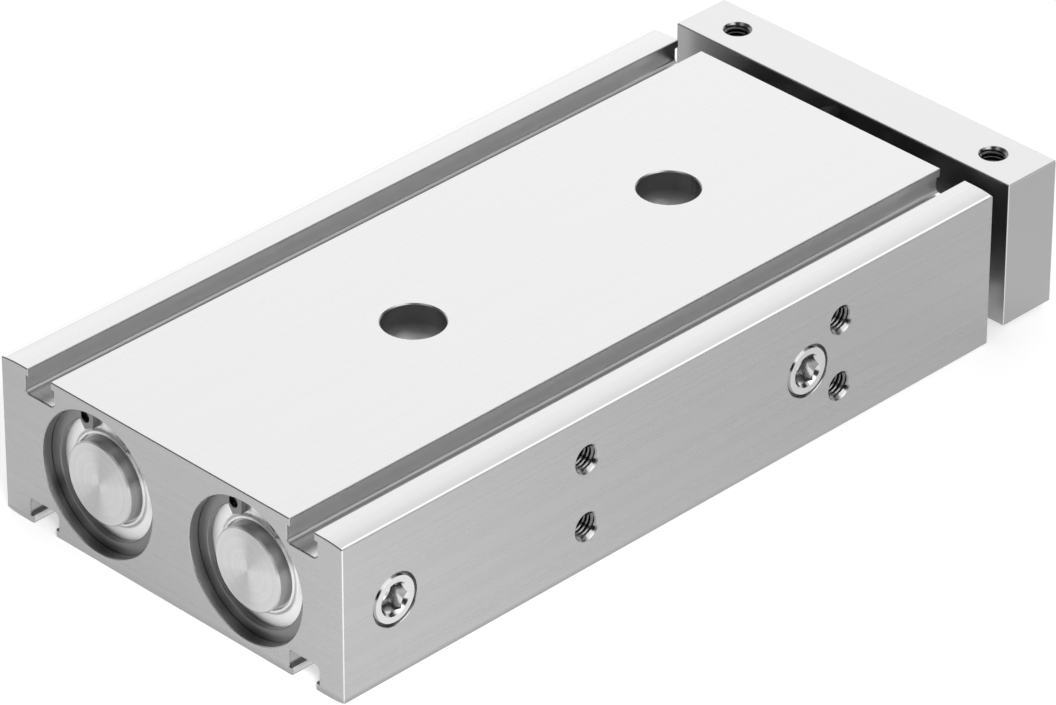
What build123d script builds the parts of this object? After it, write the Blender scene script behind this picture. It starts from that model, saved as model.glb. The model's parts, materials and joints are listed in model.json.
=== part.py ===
from build123d import *
from math import cos, radians, sin
import os

# Double piston cylinder, in millimetres.
# +X is the stroke direction, from the rear face to the yoke plate. +Z is up.
# The origin is the centre of the body's bottom face.
# A station is a distance along +X from the body's rear face.
# Left is +Y and right is -Y, seen along the stroke.

# Stroke and the lengths that add up to the body
stroke = 80.0
rear_seat_depth = 7.3
rear_nose_length = 1.6
end_play = 0.3
bumper_thickness = 2.0
piston_length = 14.0
front_nose_length = 1.9
bearing_length = 39.05
cap_recess = 3.25

# Body extrusion
body_width = 80.0
body_height = 30.0
bore_pitch = 35.0
bore_radius = 12.5
seat_step = 0.65
mouth_chamfer = 0.15
shoulder_width = 4.2
shoulder_drop = 0.4
edge_break = 0.15
long_edge_radius = 0.15

# Sensor slots
slot_offset = 30.8
slot_opening = 5.5
slot_width = 6.9
slot_depth = 4.75
slot_lip = 1.5
slot_corner_radius = 0.8

# Mounting screw holes through the body
screw_pitch = 60.0
screw_station = 54.5
screw_hole_radius = 3.3
counterbore_radius = 5.5
counterbore_depth = 7.2
hole_break = 0.2

# M5 threads in the body sides and the yoke, M6 threads in the yoke's front
small_thread_radius = 2.5
small_core_radius = 2.1
large_thread_radius = 3.0
large_core_radius = 2.5
core_drill_depth = 1.0
drill_point_ratio = 0.6
thread_end_room = 2.0
thread_countersink = 0.25
yoke_thread_countersink = 0.1
side_thread_rise = 13.0
side_thread_depth = 8.0

# Air ports
rear_port_station = 11.4
front_port_setback = 45.1
port_radius = 4.865
port_depth = 8.0
port_countersink = 0.1
passage_radius = 2.5

# Port plugs with a countersunk hexagon socket
plug_length = 6.5
plug_clearance = 0.04
plug_chamfer = 0.6
plug_key = 5.0
plug_key_depth = 3.4
plug_key_turn = 30.0
plug_mouth_radius = 3.1
plug_pilot_radius = 2.2

# Retaining rings, which hold the caps in the bores
ring_thickness = 1.2
ring_groove_width = 1.4
ring_groove_step = 0.6
ring_groove_clearance = 0.1
ring_inner_radius = 10.95
ring_edge = 0.12
lug_inner_radius = 9.05
lug_half_angle = 33.0
lug_gap = 5.7
lug_hole_radius = 1.0
lug_circle_radius = 11.16
lug_hole_angle = 25.2

# Fits, and how near an edge lies to the place that it is looked for
edge_tolerance = 0.01
seat_clearance = 0.05
running_clearance = 0.04
seal_clearance = 0.05
bonded_clearance = 0.02

# Rear caps, each with a boss in a narrow groove, and a collar that runs out into the face
boss_radius = 7.5
boss_setback = 0.5
boss_chamfer = 0.25
boss_root_width = 0.42
boss_root_depth = 0.3
collar_radius = 9.0
collar_height = 0.6
collar_rounding = 0.2
nose_radius = 10.5
nose_chamfer = 0.4

# O-rings on the caps
oring_section = 1.7
oring_groove_width = 2.4
rear_oring_setback = 1.15
front_oring_setback = 7.2

# Piston rods
rod_radius = 8.0
rod_spigot_radius = 5.0
rod_spigot_length = 8.2
rod_chamfer = 0.5
yoke_register_depth = 2.0

# Pistons, two halves that clamp the magnet between them
piston_clearance = 0.05
magnet_width = 3.8
magnet_inner_radius = 9.1
magnet_setback = 0.3
seal_width = 2.4
seal_land = 1.5
seal_groove_radius = 9.8
seal_lip_depth = 1.3
seal_lip_width = 0.9
rear_bumper_inner_radius = 6.2
front_bumper_clearance = 0.1

# Piston screws, low head M6, and the chamfer on all screw heads
screw_head_chamfer = 0.5
piston_screw_radius = 2.95
piston_screw_reach = 16.0
piston_screw_head_radius = 5.0
piston_screw_head_height = 4.0
piston_screw_seat_depth = 3.8
piston_screw_head_clearance = 0.3
piston_screw_hole_radius = 3.2
piston_screw_key = 4.0
piston_screw_key_depth = 2.0

# Front bearing caps, with guide bush, rod seal and wiper
rod_passage_clearance = 0.3
bush_wall = 1.0
bush_length = 24.0
bush_setback = 6.6
rod_seal_width = 3.3
rod_seal_setback = 1.7
rod_seal_radius = 11.0
wiper_width = 3.9
wiper_radius = 10.6
wiper_lip_length = 0.7
wiper_lip_width = 1.2

# Yoke plate
yoke_gap = 5.2
yoke_thickness = 12.0
yoke_width = 78.0
yoke_height = 28.0
yoke_edge_radius = 0.25
yoke_thread_pitch = 60.0
yoke_thread_depth = 8.0
yoke_front_thread_depth = 8.5
pocket_radius = 6.35
pocket_rise = 13.0
pocket_depth = 7.0

# Yoke screws, low head M8
yoke_screw_radius = 3.95
yoke_screw_reach = 18.0
yoke_screw_head_radius = 6.5
yoke_screw_head_height = 5.0
yoke_screw_seat_depth = 5.5
yoke_screw_head_clearance = 0.3
yoke_screw_hole_radius = 4.3
yoke_screw_key = 5.0
yoke_screw_key_depth = 2.5
tapped_clearance = 0.05

# Stations along the stroke axis, counted from the body's rear face
rear_nose_face = rear_seat_depth + rear_nose_length
piston_rear = rear_nose_face + end_play + bumper_thickness
piston_front = piston_rear + piston_length
front_nose_face = piston_front + bumper_thickness + stroke + end_play
front_shoulder = front_nose_face + front_nose_length
bearing_face = front_shoulder + bearing_length
body_length = bearing_face + cap_recess
front_port_station = body_length - front_port_setback
yoke_rear = body_length + yoke_gap
yoke_front = yoke_rear + yoke_thickness
rod_front = yoke_rear + yoke_register_depth
piston_middle = (piston_rear + piston_front) / 2
screw_stations = (screw_station, screw_station + screw_pitch)
port_stations = (rear_port_station, front_port_station)

# Radii and heights that follow from the sizes above
axis_height = body_height / 2
seat_radius = bore_radius + seat_step
ring_groove_radius = seat_radius + ring_groove_step
cap_radius = seat_radius - seat_clearance
oring_groove_radius = seat_radius - oring_section - seat_clearance
piston_radius = bore_radius - piston_clearance
bush_outer_radius = rod_radius + bush_wall
sides = {"left": 1, "right": -1}


def x_at(station):
    """Row coordinate of a station."""
    return station - body_length / 2


def polar(radius, angle):
    """Point of a cross-section at a radius and an angle in degrees."""
    return (radius * cos(radians(angle)), radius * sin(radians(angle)))


def disc(start, end, radius):
    """Round bar about the stroke axis between two stations."""
    length = end - start
    return Pos(x_at(start) + length / 2, 0, 0) * Rot(0, 90, 0) * Cylinder(radius, length)


def ring(start, end, inner, outer):
    """Round sleeve about the stroke axis between two stations."""
    return disc(start, end, outer) - disc(start, end, inner)


def turned(*outline):
    """Solid of revolution about the stroke axis from (station, radius) points."""
    points = [(x_at(station), radius) for station, radius in outline]
    return revolve(make_face(Polyline(*points, close=True)), Axis.X)


def rim(part, station, radius):
    """Circular edges of a turned part at one station and radius."""
    circles = part.edges().filter_by(GeomType.CIRCLE)
    there = [edge for edge in circles if abs(edge.arc_center.X - x_at(station)) < edge_tolerance]
    return [edge for edge in there if abs(edge.radius - radius) < edge_tolerance]


def on_bore(part, side):
    """Moves a part from the stroke axis to the left or right bore."""
    return Pos(0, sides[side] * bore_pitch / 2, axis_height) * part


def drill(place, direction, outline):
    """Hole as a solid of revolution, from (depth, radius) points that end on its axis."""
    points = [(0, 0)] + [(radius, -depth) for depth, radius in outline]
    profile = make_face(Plane.XZ * Polyline(*points, close=True))
    return Plane(origin=place, z_dir=direction) * revolve(profile, Axis.Z)


def threaded_hole(place, direction, radius, core_radius, depth, countersink=thread_countersink):
    """Blind threaded hole: countersunk mouth, thread, and the end of the core drill."""
    floor = depth + core_drill_depth
    outline = [
        (0, radius + countersink),
        (countersink, radius),
        (depth, radius),
        (depth, core_radius),
        (floor, core_radius),
        (floor + core_radius * drill_point_ratio, 0),
    ]
    return drill(place, direction, outline)


def body_outline():
    """Cross-section of the extrusion: flat faces with gently rounded shoulders."""
    flat = body_width / 2 - shoulder_width
    right_half = [
        Line((0, body_height), (flat, body_height)),
        TangentArc((flat, body_height), (body_width / 2, body_height - shoulder_drop), tangent=(1, 0)),
        Line((body_width / 2, body_height - shoulder_drop), (body_width / 2, shoulder_drop)),
        TangentArc((flat, 0), (body_width / 2, shoulder_drop), tangent=(1, 0)),
        Line((0, 0), (flat, 0)),
    ]
    left_half = [mirror(line, about=Plane.YZ) for line in right_half]
    return make_face(right_half + left_half)


def slot_outline():
    """T-shaped sensor slot, with its mouth on the line y = 0 and its floor below."""
    mouth = Pos(0, -slot_lip / 2) * Rectangle(slot_opening, slot_lip)
    room_height = slot_depth - slot_lip
    room = Pos(0, -slot_lip - room_height / 2) * Rectangle(slot_width, room_height)
    floor_corners = room.vertices().sort_by(Axis.Y)[:2]
    room = fillet(floor_corners, slot_corner_radius)
    return mouth + room


def body_profile():
    """Extrusion section with the four sensor slots cut in and its outer corners rounded."""
    section = body_outline()
    for side in sides.values():
        section -= Pos(side * slot_offset, body_height) * slot_outline()
        section -= Pos(side * slot_offset, 0) * Rot(0, 0, 180) * slot_outline()
    mouth_edges = (slot_offset - slot_opening / 2, slot_offset + slot_opening / 2)
    corners = []
    for corner in section.vertices():
        at_side = abs(abs(corner.X) - body_width / 2) < edge_tolerance
        at_mouth = any(abs(abs(corner.X) - edge) < edge_tolerance for edge in mouth_edges)
        in_face = min(corner.Y, body_height - corner.Y) < edge_tolerance
        if at_side or (at_mouth and in_face):
            corners.append(corner)
    return fillet(corners, long_edge_radius)


def bore_cut():
    """Everything turned out of the body along one bore."""
    cut = disc(0, body_length, bore_radius)
    cut += disc(0, rear_seat_depth, seat_radius)
    cut += disc(front_shoulder, body_length, seat_radius)
    groove_end = cap_recess + (ring_groove_width - ring_thickness) / 2
    groove_start = groove_end - ring_groove_width
    cut += disc(groove_start, groove_end, ring_groove_radius)
    cut += disc(body_length - groove_end, body_length - groove_start, ring_groove_radius)
    mouth = seat_radius + mouth_chamfer
    cut += turned((0, 0), (0, mouth), (mouth_chamfer, seat_radius), (mouth_chamfer, 0))
    cut += turned(
        (body_length, 0),
        (body_length, mouth),
        (body_length - mouth_chamfer, seat_radius),
        (body_length - mouth_chamfer, 0),
    )
    return cut


def mounting_hole(station):
    """Through hole for an M6 screw, counterbored from above and from below."""
    outline = [
        (0, counterbore_radius + hole_break),
        (hole_break, counterbore_radius),
        (counterbore_depth, counterbore_radius),
        (counterbore_depth, screw_hole_radius),
        (body_height / 2, screw_hole_radius),
        (body_height / 2, 0),
    ]
    upper = drill((x_at(station), 0, body_height), (0, 0, 1), outline)
    lower = drill((x_at(station), 0, 0), (0, 0, -1), outline)
    return upper + lower


def port(station, side):
    """Threaded air port in one side of the body."""
    outline = [
        (0, port_radius + port_countersink),
        (port_countersink, port_radius),
        (port_depth, port_radius),
        (port_depth, 0),
    ]
    return drill((x_at(station), side * body_width / 2, axis_height), (0, side, 0), outline)


def air_passage(station):
    """Cross drilling that joins the two ports and the two bores at one end."""
    length = body_width - 2 * port_depth
    return Pos(x_at(station), 0, axis_height) * Rot(90, 0, 0) * Cylinder(passage_radius, length)


def side_threads(side):
    """Four M5 threads in one side of the body."""
    holes = []
    for station in screw_stations:
        for rise in (-side_thread_rise / 2, side_thread_rise / 2):
            place = (x_at(station), side * body_width / 2, axis_height + rise)
            hole = threaded_hole(
                place, (0, side, 0), small_thread_radius, small_core_radius, side_thread_depth
            )
            holes.append(hole)
    return holes


def make_body():
    """Twin-bore extrusion with its seats, ports, slots and screw holes."""
    blank = extrude(Plane.YZ.offset(x_at(0)) * body_profile(), body_length)
    end_edges = blank.edges().group_by(Axis.X)
    blank = chamfer(end_edges[0] + end_edges[-1], edge_break)
    for side in sides:
        blank -= on_bore(bore_cut(), side)
    for station in screw_stations:
        blank -= mounting_hole(station)
    for station in port_stations:
        blank -= air_passage(station)
        for side in sides.values():
            blank -= port(station, side)
    for side in sides.values():
        for hole in side_threads(side):
            blank -= hole
    return blank


def plug_socket():
    """Hexagon key socket with a countersunk mouth and a drilled floor, on the plane z = 0."""
    hexagon = RegularPolygon(plug_key / 2, 6, major_radius=False, rotation=plug_key_turn)
    socket = extrude(hexagon, -plug_key_depth)
    drilled = [
        (0, plug_mouth_radius),
        (plug_mouth_radius - plug_pilot_radius, plug_pilot_radius),
        (plug_key_depth, plug_pilot_radius),
        (plug_key_depth + plug_pilot_radius * drill_point_ratio, 0),
    ]
    return socket + drill((0, 0, 0), (0, 0, 1), drilled)


def make_port_plugs():
    """Plugs that close the two ports in the right side."""
    radius = port_radius - plug_clearance
    plug = Pos(0, 0, -plug_length / 2) * Cylinder(radius, plug_length)
    plug = chamfer(plug.edges().filter_by(GeomType.CIRCLE), plug_chamfer)
    plug -= plug_socket()
    plugs = []
    for station in port_stations:
        mouth = Plane(origin=(x_at(station), -body_width / 2, axis_height), z_dir=(0, -1, 0))
        plugs.append(mouth * plug)
    return plugs


def retaining_ring(start):
    """Internal retaining ring with two plier lugs at the top, from one station on."""
    outer = ring_groove_radius - ring_groove_clearance
    reach = outer * 2
    edges = [polar(reach, 90 + lug_half_angle), polar(reach, 90 - lug_half_angle)]
    wedge = make_face(Polyline((0, 0), *edges, close=True))
    lugs = (Circle(outer) - Circle(lug_inner_radius)) & wedge
    outline = Circle(outer) - Circle(ring_inner_radius) + lugs
    outline -= Pos(0, reach / 2) * Rectangle(lug_gap, reach)
    for angle in (90 - lug_hole_angle, 90 + lug_hole_angle):
        outline -= Pos(*polar(lug_circle_radius, angle)) * Circle(lug_hole_radius)
    plate = extrude(Plane.YZ.offset(x_at(start)) * outline, ring_thickness)
    face_edges = plate.edges().group_by(Axis.X)
    return chamfer(face_edges[0] + face_edges[-1], ring_edge)


def oring(middle):
    """O-ring in a cap's groove, centred on one station."""
    section = oring_section / 2
    centre = seat_radius - seat_clearance / 2 - section
    return Pos(x_at(middle), 0, 0) * Rot(0, 90, 0) * Torus(centre, section)


def oring_groove(middle):
    """Groove for a cap's O-ring."""
    half = oring_groove_width / 2
    return ring(middle - half, middle + half, oring_groove_radius, seat_radius)


def make_rear_cap():
    """Turned rear cap: boss and collar outside, O-ring groove, nose towards the piston."""
    boss_face = x_at(boss_setback)
    groove_floor = x_at(cap_recess + boss_root_depth)
    groove_radius = boss_radius + boss_root_width
    collar_face = x_at(cap_recess - collar_height)
    brow = (collar_face + collar_rounding, groove_radius)
    crest = (collar_face, groove_radius + collar_rounding)
    foot = (x_at(cap_recess), collar_radius)
    waist = ((crest[0] + foot[0]) / 2, (crest[1] + foot[1]) / 2)
    slope = TangentArc(crest, waist, tangent=(0, 1))
    outline = Polyline(
        foot,
        (x_at(cap_recess), cap_radius),
        (x_at(rear_seat_depth), cap_radius),
        (x_at(rear_seat_depth), nose_radius),
        (x_at(rear_nose_face), nose_radius),
        (x_at(rear_nose_face), 0),
        (boss_face, 0),
        (boss_face, boss_radius),
        (groove_floor, boss_radius),
        (groove_floor, groove_radius),
        brow,
    )
    outline += [TangentArc(brow, crest, tangent=(-1, 0)), slope]
    outline += TangentArc(waist, foot, tangent=slope % 1)
    cap = revolve(make_face(outline.edges()), Axis.X)
    cap = chamfer(rim(cap, boss_setback, boss_radius), boss_chamfer)
    cap = chamfer(rim(cap, rear_nose_face, nose_radius), nose_chamfer)
    return cap - oring_groove(rear_oring_station)


def make_front_cap():
    """Front bearing cap, which carries the bush, the rod seal and the wiper."""
    cap = disc(front_shoulder, bearing_face, cap_radius)
    cap += disc(front_nose_face, front_shoulder, nose_radius)
    cap = chamfer(rim(cap, front_nose_face, nose_radius), nose_chamfer)
    cap = chamfer(rim(cap, bearing_face, cap_radius), nose_chamfer)
    cap -= disc(front_nose_face, bearing_face, rod_radius + rod_passage_clearance)
    cap -= disc(bush_start, bush_start + bush_length, bush_outer_radius)
    cap -= disc(rod_seal_start, rod_seal_start + rod_seal_width, rod_seal_radius)
    cap -= disc(bearing_face - wiper_width, bearing_face, wiper_radius)
    return cap - oring_groove(front_oring_station)


def make_guide_bush():
    """Plain bearing bush that the rod slides in."""
    inner = rod_radius + running_clearance
    return ring(bush_start, bush_start + bush_length, inner, bush_outer_radius - bonded_clearance)


def make_rod_seal():
    """Rod seal with a lip towards the chamber."""
    start = rod_seal_start + seal_clearance
    end = rod_seal_start + rod_seal_width - seal_clearance
    inner = rod_radius + seal_clearance
    outer = rod_seal_radius - bonded_clearance
    return turned(
        (start, inner),
        (start, inner + seal_lip_width),
        (start + seal_lip_depth, (inner + outer) / 2),
        (start, outer - seal_lip_width),
        (start, outer),
        (end, outer),
        (end, inner),
    )


def make_wiper():
    """Wiper in the mouth of the bearing cap, with its lip out past the cap."""
    start = bearing_face - wiper_width + seal_clearance
    inner = rod_radius + seal_clearance
    outer = wiper_radius - bonded_clearance
    return turned(
        (start, inner),
        (start, outer),
        (bearing_face, outer),
        (bearing_face, inner + 2 * wiper_lip_width),
        (bearing_face - wiper_lip_length, inner + wiper_lip_width),
        (bearing_face + wiper_lip_length, inner + wiper_lip_width / 2),
        (bearing_face + wiper_lip_length, inner),
    )


def make_piston_rod():
    """Rod from the piston to the yoke, tapped at both ends."""
    rod = disc(piston_front, rod_front, rod_radius)
    rod = chamfer(rim(rod, rod_front, rod_radius), rod_chamfer)
    rod += disc(piston_front - rod_spigot_length, piston_front, rod_spigot_radius)
    rear_thread = piston_screw_radius + tapped_clearance
    rear_start = piston_front - rod_spigot_length
    rod -= disc(rear_start, rear_start + piston_screw_reach + thread_end_room, rear_thread)
    front_thread = yoke_screw_radius + tapped_clearance
    return rod - disc(rod_front - yoke_screw_reach - thread_end_room, rod_front, front_thread)


def piston_half(face, toward):
    """Half piston from its outer face; toward is +1 or -1, the way to the magnet."""
    joint = piston_middle
    magnet_wall = joint - toward * magnet_width / 2
    groove_start = face + toward * seal_land
    groove_end = groove_start + toward * seal_width
    neck = magnet_inner_radius - bonded_clearance
    return turned(
        (face, 0),
        (face, piston_radius),
        (groove_start, piston_radius),
        (groove_start, seal_groove_radius),
        (groove_end, seal_groove_radius),
        (groove_end, piston_radius),
        (magnet_wall, piston_radius),
        (magnet_wall, neck),
        (joint, neck),
        (joint, 0),
    )


def make_piston_rear():
    """Rear half of the piston, with the seat for the piston screw."""
    half = piston_half(piston_rear, 1)
    seat_end = piston_rear + piston_screw_seat_depth
    head_radius = piston_screw_head_radius + piston_screw_head_clearance
    half -= disc(piston_rear, seat_end, head_radius)
    half -= disc(seat_end, piston_middle, piston_screw_hole_radius)
    spigot_start = piston_front - rod_spigot_length
    return half - disc(spigot_start, piston_middle, rod_spigot_radius + bonded_clearance)


def make_piston_front():
    """Front half of the piston, which the rod's shoulder seats on."""
    half = piston_half(piston_front, -1)
    return half - disc(piston_middle, piston_front, rod_spigot_radius + bonded_clearance)


def make_magnet():
    """Ring magnet that the sensors in the slots respond to."""
    half = magnet_width / 2
    outer = piston_radius - magnet_setback
    return ring(piston_middle - half, piston_middle + half, magnet_inner_radius, outer)


def piston_seal(face, toward):
    """Piston seal in a half's groove, with its lip towards that half's outer face."""
    start = face + toward * (seal_land + seal_clearance)
    end = face + toward * (seal_land + seal_width - seal_clearance)
    inner = seal_groove_radius + bonded_clearance
    outer = bore_radius - seal_clearance
    return turned(
        (start, inner),
        (start, inner + seal_lip_width),
        (start + toward * seal_lip_depth, (inner + outer) / 2),
        (start, outer - seal_lip_width),
        (start, outer),
        (end, outer),
        (end, inner),
    )


def make_rear_bumper():
    """Elastic cushion on the piston's rear face."""
    return ring(piston_rear - bumper_thickness, piston_rear, rear_bumper_inner_radius, nose_radius)


def make_front_bumper():
    """Elastic cushion on the piston's front face, around the rod."""
    inner = rod_radius + front_bumper_clearance
    return ring(piston_front, piston_front + bumper_thickness, inner, nose_radius)


def key_socket(across_flats, start, end):
    """Hexagon socket along the stroke axis between two stations."""
    outline = RegularPolygon(across_flats / 2, 6, major_radius=False)
    return extrude(Plane.YZ.offset(x_at(start)) * outline, end - start)


def make_piston_screw():
    """Low-head screw that clamps the piston halves to the rod."""
    seat = piston_rear + piston_screw_seat_depth
    head_start = seat - piston_screw_head_height
    screw = disc(head_start, seat, piston_screw_head_radius)
    screw = chamfer(rim(screw, head_start, piston_screw_head_radius), screw_head_chamfer)
    reach_end = piston_front - rod_spigot_length + piston_screw_reach
    screw += disc(seat, reach_end, piston_screw_radius)
    return screw - key_socket(piston_screw_key, head_start, head_start + piston_screw_key_depth)


def make_yoke_plate():
    """Plate that joins the two rods, with its screw seats, threads and rear pocket."""
    middle = x_at(yoke_rear) + yoke_thickness / 2
    plate = Pos(middle, 0, axis_height) * Box(yoke_thickness, yoke_width, yoke_height)
    plate = fillet(plate.edges(), yoke_edge_radius)
    register_radius = rod_radius + bonded_clearance
    head_radius = yoke_screw_head_radius + yoke_screw_head_clearance
    for side in sides:
        plate -= on_bore(disc(yoke_rear, rod_front, register_radius), side)
        plate -= on_bore(disc(rod_front, yoke_front, yoke_screw_hole_radius), side)
        plate -= on_bore(disc(yoke_front - yoke_screw_seat_depth, yoke_front, head_radius), side)
    pocket = SlotCenterToCenter(pocket_rise, 2 * pocket_radius, rotation=90)
    plate -= extrude(Plane.YZ.offset(x_at(yoke_rear)) * (Pos(0, axis_height) * pocket), pocket_depth)
    for side in sides.values():
        thread_y = side * yoke_thread_pitch / 2
        for up in (1, -1):
            place = (middle, thread_y, axis_height + up * yoke_height / 2)
            small_hole = (small_thread_radius, small_core_radius, yoke_thread_depth)
            plate -= threaded_hole(place, (0, 0, up), *small_hole, yoke_thread_countersink)
        place = (x_at(yoke_front), thread_y, axis_height)
        large_hole = (large_thread_radius, large_core_radius, yoke_front_thread_depth)
        plate -= threaded_hole(place, (1, 0, 0), *large_hole, yoke_thread_countersink)
    return plate


def make_yoke_screws():
    """Low-head screws that hold the yoke plate on the rods."""
    seat = yoke_front - yoke_screw_seat_depth
    head_end = seat + yoke_screw_head_height
    screw = disc(seat, head_end, yoke_screw_head_radius)
    screw = chamfer(rim(screw, head_end, yoke_screw_head_radius), screw_head_chamfer)
    screw += disc(rod_front - yoke_screw_reach, seat, yoke_screw_radius)
    screw -= key_socket(yoke_screw_key, head_end - yoke_screw_key_depth, head_end)
    return [on_bore(screw, side) for side in sides]


# Stations of the seals and the bush inside the caps
rear_oring_station = cap_recess + rear_oring_setback + oring_groove_width / 2
front_oring_station = front_shoulder + front_oring_setback + oring_groove_width / 2
rod_seal_start = front_shoulder + rod_seal_setback
bush_start = front_shoulder + bush_setback

# Pieces that each bore has, built on the stroke axis
bore_pieces = {
    "rear_cap": make_rear_cap(),
    "rear_cap_oring": oring(rear_oring_station),
    "rear_retaining_ring": retaining_ring(cap_recess - ring_thickness),
    "piston_rod": make_piston_rod(),
    "piston_rear_half": make_piston_rear(),
    "piston_front_half": make_piston_front(),
    "piston_magnet": make_magnet(),
    "piston_rear_seal": piston_seal(piston_rear, 1),
    "piston_front_seal": piston_seal(piston_front, -1),
    "rear_bumper": make_rear_bumper(),
    "front_bumper": make_front_bumper(),
    "piston_screw": make_piston_screw(),
    "front_cap": make_front_cap(),
    "front_cap_oring": oring(front_oring_station),
    "front_retaining_ring": retaining_ring(bearing_face),
    "guide_bush": make_guide_bush(),
    "rod_seal": make_rod_seal(),
    "rod_wiper": make_wiper(),
}

nodes = {
    "body": make_body(),
    "port_plugs": Compound(make_port_plugs()),
    "yoke_plate": make_yoke_plate(),
    "yoke_screws": Compound(make_yoke_screws()),
}
for piece_name, piece in bore_pieces.items():
    for side in sides:
        nodes[piece_name + "_" + side] = on_bore(piece, side)

os.makedirs("parts", exist_ok=True)
for node_name, node in nodes.items():
    export_step(node, "parts/" + node_name + ".step")
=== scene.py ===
"""Finishes and stages the double piston cylinder: cut threads, machined metal, rubber, studio and camera.

All sizes are in metres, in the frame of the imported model.
"""

import json
import math

import bmesh
import bpy
from bpy.props import FloatProperty, FloatVectorProperty, IntProperty, PointerProperty
from mathutils import Matrix, Vector


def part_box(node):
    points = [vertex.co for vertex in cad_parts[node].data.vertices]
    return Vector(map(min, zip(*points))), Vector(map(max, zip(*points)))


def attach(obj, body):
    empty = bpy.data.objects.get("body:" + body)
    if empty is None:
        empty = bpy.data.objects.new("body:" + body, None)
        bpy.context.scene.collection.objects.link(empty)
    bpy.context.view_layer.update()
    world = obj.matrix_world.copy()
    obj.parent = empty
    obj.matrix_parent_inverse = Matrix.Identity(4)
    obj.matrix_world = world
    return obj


bl_info = {
    "name": "Double Piston Cylinder Finish",
    "version": (1, 0, 0),
    "blender": (4, 5, 0),
    "location": "3D View > Sidebar > Cylinder",
    "description": "Cuts the threads, finishes the metal and rubber, and lights the double piston cylinder",
    "category": "Object",
}

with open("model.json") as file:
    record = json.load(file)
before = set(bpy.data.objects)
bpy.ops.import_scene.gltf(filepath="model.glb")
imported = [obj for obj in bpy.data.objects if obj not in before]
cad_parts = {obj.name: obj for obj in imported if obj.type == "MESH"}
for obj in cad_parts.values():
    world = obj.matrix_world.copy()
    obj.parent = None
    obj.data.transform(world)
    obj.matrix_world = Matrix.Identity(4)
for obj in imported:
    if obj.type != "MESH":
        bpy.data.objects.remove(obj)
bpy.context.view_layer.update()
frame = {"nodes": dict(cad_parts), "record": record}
mounts = {mount["name"]: mount for mount in frame["record"]["mounts"]}

MM = 0.001
SIDES = ("left", "right")
COLOUR = {"subtype": "COLOR", "min": 0, "max": 1}  # what all colour settings share
WHITE = (1, 1, 1, 1)

# Where one finish ends and the next begins
EDGE_REACH = 0.16 * MM  # width of the broken edges of a block
SKIN = 0.3 * MM  # what lies deeper than this is inside a block
SLANT = (0.93, 0.975)  # largest part of the normal, on a slanted face and on a square one
LONG_EDGE_REACH = 0.7 * MM  # how far the body's long rounded edges reach in from its outside
MOUTH_EDGE = (2.7 * MM, 2.95 * MM)  # from a slot's middle to the rounded edges of its mouth
# The painted highlight on the long rounded edges lies where the normal is this steep.
STEEP = (0.22, 0.42)  # upright part of the normal on the steep half of a rounded edge
HOLE_REACH = 8 * MM  # half the width of the strip that holds the mounting holes
# Painted light: the mounting holes are painted brighter from this depth down, standing in for light thrown
# up from inside them.
HOLE_SHADE = (3.5 * MM, 7 * MM)  # depth at which a mounting hole starts to brighten, and its bright end
BORE_REACH = 13.9 * MM  # radius that takes in a bore's mouth, its seat and its ring groove
BOSS_REACH = 7.6 * MM  # radius that takes in the boss of a rear cap
PLUG_REACH = 4.24 * MM  # radius at which the dark rim of a plug starts
LUG_PLACE = (4.75 * MM, 10.1 * MM)  # from the bore's axis to a ring's plier hole, sideways and up
LUG_REACH = 1.02 * MM  # radius that takes in a plier hole
LUG_WALL = 0.5  # lengthwise part of the normal, below which a face is the hole's wall
# Painted shade: below this depth the threads are painted dark.
THREAD_SHADE = (0.8 * MM, 1.0 * MM)  # depth at which a hole's bright mouth turns into dark turns
BODY_END = (0.8, 0.9)  # lengthwise part of the normal, on the body's sides and on its ends
TURNED_END = (0.4, 0.6)  # the same on a turned part's wall and on its faces

# Marks: how long and how wide their lines are
LONG_LINES = {"Length": 0.2, "Width": 0.7 * MM}
CROSS_LINES = {"Length": 0.1, "Width": 0.5 * MM}
MILLED_LINES = {"Length": 0.02, "Width": 0.2 * MM}
RING_WIDTH = 0.2 * MM
CONTRAST = (0.32, 0.68)  # stretch of the noise that is spread over the marks
CUT_GRAIN = 900.0  # grains per metre on cut and plated metal
RING_GRAIN = 1500.0  # grains per metre on the retaining rings
CLOUD_GRAIN = 35.0  # grains per metre of the faint clouds on every surface
CLOUD_SHARE = 0.15  # share of the clouds in what changes a surface's colour and roughness
WANDER_GRAIN = 120.0  # grains per metre of the unevenness of a turning tool's rings
BROAD_LINES = (0.27, 0.5)  # scale of the broad lines against the fine ones, and their share
BROAD_RINGS = (0.21, 0.4)  # the same for the turning rings

# Roughness of each part of a finish
BODY_ROUGHNESS = {"outside": 0.28, "hole": 0.44, "bare": 0.15}
YOKE_ROUGHNESS = {"outside": 0.3, "bare": 0.15}

# How much the marks show on the body's outside, and inside it
BODY_LIFE = {
    "roughness_change": (0.06, 0.02),
    "colour_change": (0.08, 0.03),
    "relief": (0.001 * MM, 0.0002 * MM),
}
RING_RELIEF = (0.001 * MM, 0.008 * MM)  # height of the turning rings on a cap's walls and on its faces

# Turned finishes: colour, roughness of faces and of walls, depth of the marks against a cap's, and
# anisotropy
TURNED = {
    "cap_turned": ("turned_colour", 0.38, 0.45, 1.0, 0.95),
    "rod_chrome": ("rod_colour", 0.3, 0.12, 0.1, 0.0),
}
STREAK_TURN = 0.25  # turn of the streak of light on a cap, as a share of a full turn

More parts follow.
